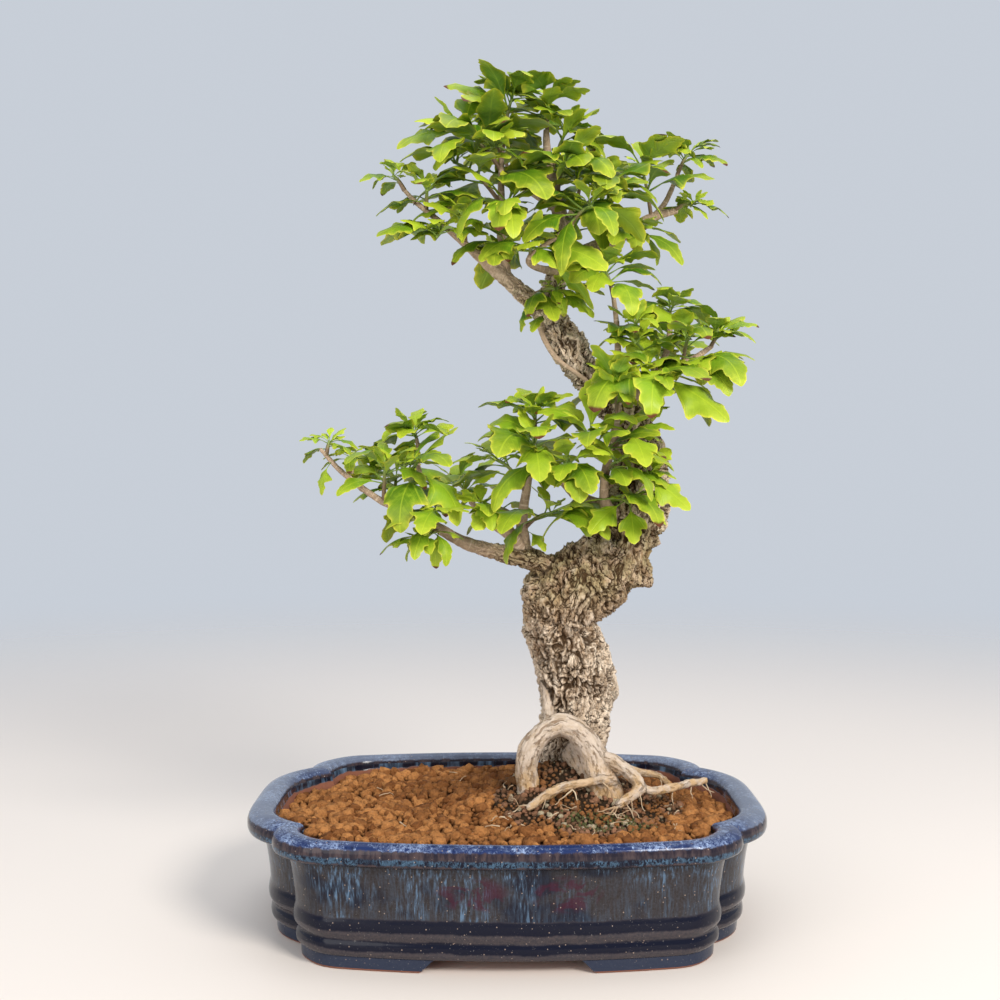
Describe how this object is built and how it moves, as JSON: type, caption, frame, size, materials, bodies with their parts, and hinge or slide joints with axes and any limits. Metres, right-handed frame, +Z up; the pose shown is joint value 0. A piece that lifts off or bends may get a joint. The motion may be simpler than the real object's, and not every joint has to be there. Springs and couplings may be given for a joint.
{
  "type": "rose of sharon bonsai",
  "caption": "Rose of sharon bonsai with a curved craggy trunk, leafy pads and a looped surface root, in an oblong lobed pot with a blue glaze.",
  "frame": {"origin": "middle of the pot's footprint, on the surface that it stands on", "axes": "+Z up, +X to the right of the pot's front, the front faces -Y"},
  "size_m": [0.272, 0.217, 0.4505],
  "materials": {
    "glaze": "gloss",
    "screen": "matt",
    "clay_grains": "matt",
    "old_soil": "matt",
    "bark": "matt",
    "leaf": "satin"
  },
  "bodies": {
    "root": {"pot": "glaze", "drain_screen_left": "screen", "drain_screen_right": "screen", "soil": "clay_grains", "root_ball": "old_soil", "wood": "bark", "spray_crown_top": "leaf", "spray_crown_left_top": "leaf", "spray_crown_left_out": "leaf", "spray_crown_left_low": "leaf", "spray_crown_front_left": "leaf", "spray_crown_inner": "leaf", "spray_crown_under": "leaf", "spray_crown_right_top": "leaf", "spray_crown_front": "leaf", "spray_crown_front_right": "leaf", "spray_arm_end": "leaf", "spray_big_front": "leaf", "spray_left_tip": "leaf", "spray_left_mid": "leaf", "spray_left_front": "leaf", "spray_left_hang": "leaf", "spray_right_up": "leaf", "spray_right_tip": "leaf", "spray_right_end": "leaf", "spray_right_low": "leaf", "spray_right_mid": "leaf", "spray_back_tip": "leaf", "spray_back_left": "leaf", "spray_fork": "leaf", "spray_mid_top": "leaf", "spray_mid_side": "leaf", "spray_pad_top": "leaf", "spray_pad_end": "leaf", "spray_pad_low": "leaf", "spray_pad_front": "leaf", "spray_pad_mid": "leaf", "spray_pad_hang": "leaf", "spray_pad_back_tip": "leaf", "spray_low_top": "leaf", "spray_low_big": "leaf", "spray_low_out": "leaf", "spray_low_under": "leaf", "spray_low_right": "leaf", "spray_bough_tip": "leaf", "spray_front_mid": "leaf", "spray_front_top": "leaf", "spray_front_right": "leaf", "spray_trunk_cover": "leaf", "spray_trunk_right": "leaf", "spray_trunk_front": "leaf", "spray_low_back_tip": "leaf", "spray_left_end": "leaf", "spray_left_twig": "leaf", "spray_left_front_pad": "leaf", "spray_pad_left_top": "leaf", "spray_pad_left_front": "leaf", "spray_pad_left_back": "leaf", "spray_pad_left_low": "leaf", "spray_pad_left_under": "leaf"}
  },
  "joints": []
}
